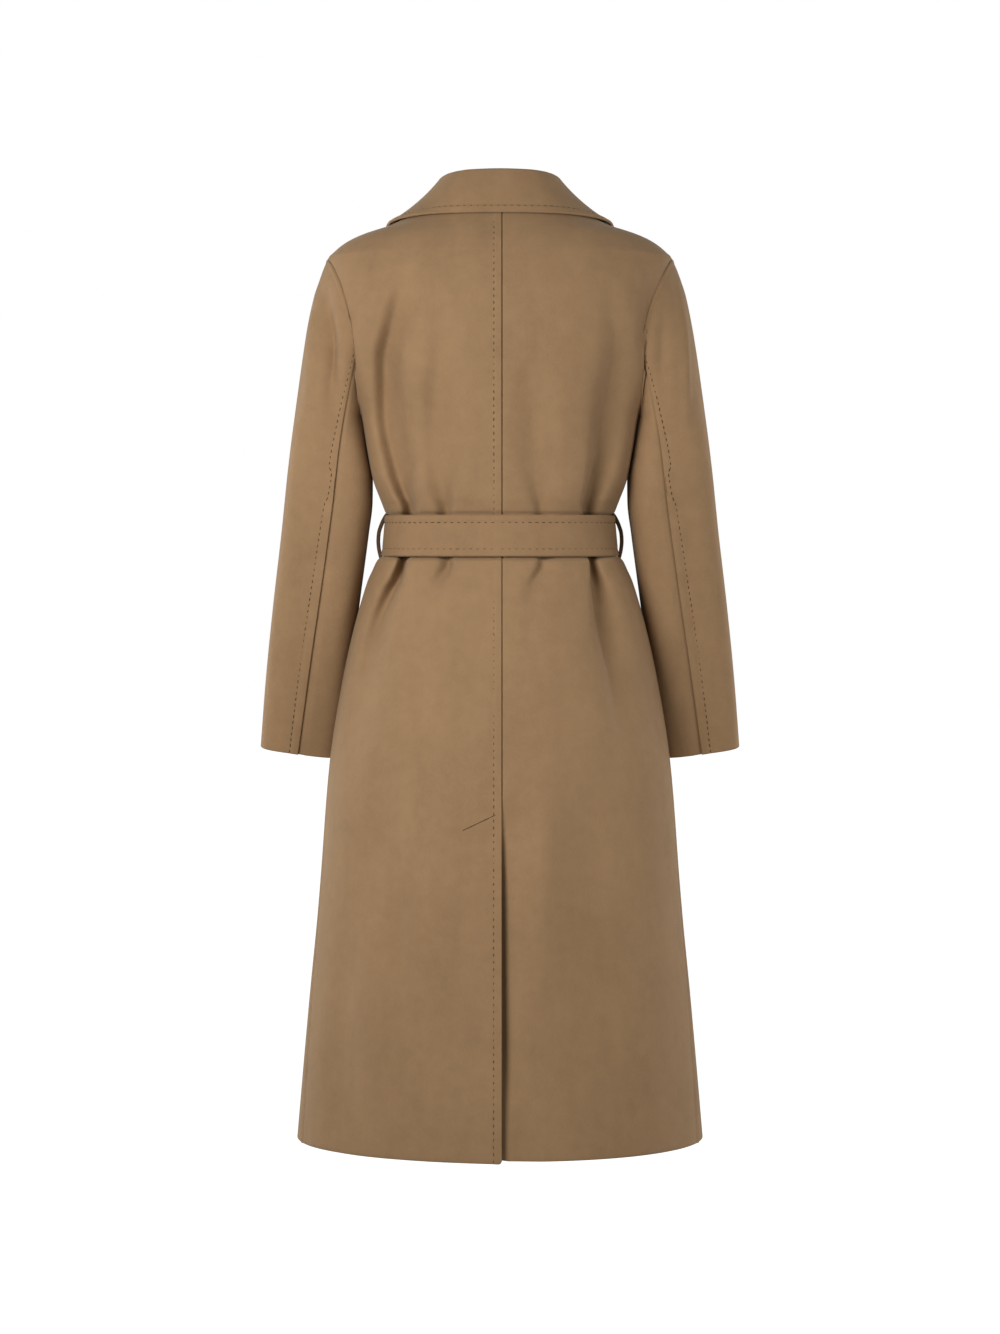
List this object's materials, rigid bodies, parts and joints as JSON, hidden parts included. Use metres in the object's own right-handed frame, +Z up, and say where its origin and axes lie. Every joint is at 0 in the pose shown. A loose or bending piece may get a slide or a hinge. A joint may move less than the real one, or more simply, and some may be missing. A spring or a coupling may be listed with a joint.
{
  "type": "belted coat",
  "caption": "Long belted wool coat in its worn shape with no wearer: hollow body, two-piece sleeves, notched collar, back vent and tie belt in side loops.",
  "frame": {"origin": "middle of the neck opening at the height where the shoulder seams reach the neck, where the wearer's neck and shoulders hold the coat up", "axes": "+Z up, +Y the way the wearer faces, +X the wearer's right, so the back faces -Y"},
  "size_m": [0.5804, 0.3776, 1.147],
  "materials": {
    "coat_wool": "smooth felted camel wool with a short nap",
    "belt_wool": "the same wool, doubled and pressed"
  },
  "bodies": {
    "root": {"back_left": "coat_wool", "back_right": "coat_wool", "front_left": "coat_wool", "front_right": "coat_wool", "lapel_left": "coat_wool", "lapel_right": "coat_wool", "collar": "coat_wool", "sleeve_upper_left": "coat_wool", "sleeve_under_left": "coat_wool", "sleeve_upper_right": "coat_wool", "sleeve_under_right": "coat_wool", "belt": "belt_wool", "belt_knot": "belt_wool", "belt_end_left": "belt_wool", "belt_end_right": "belt_wool", "belt_loop_left": "belt_wool", "belt_loop_right": "belt_wool"}
  },
  "joints": []
}
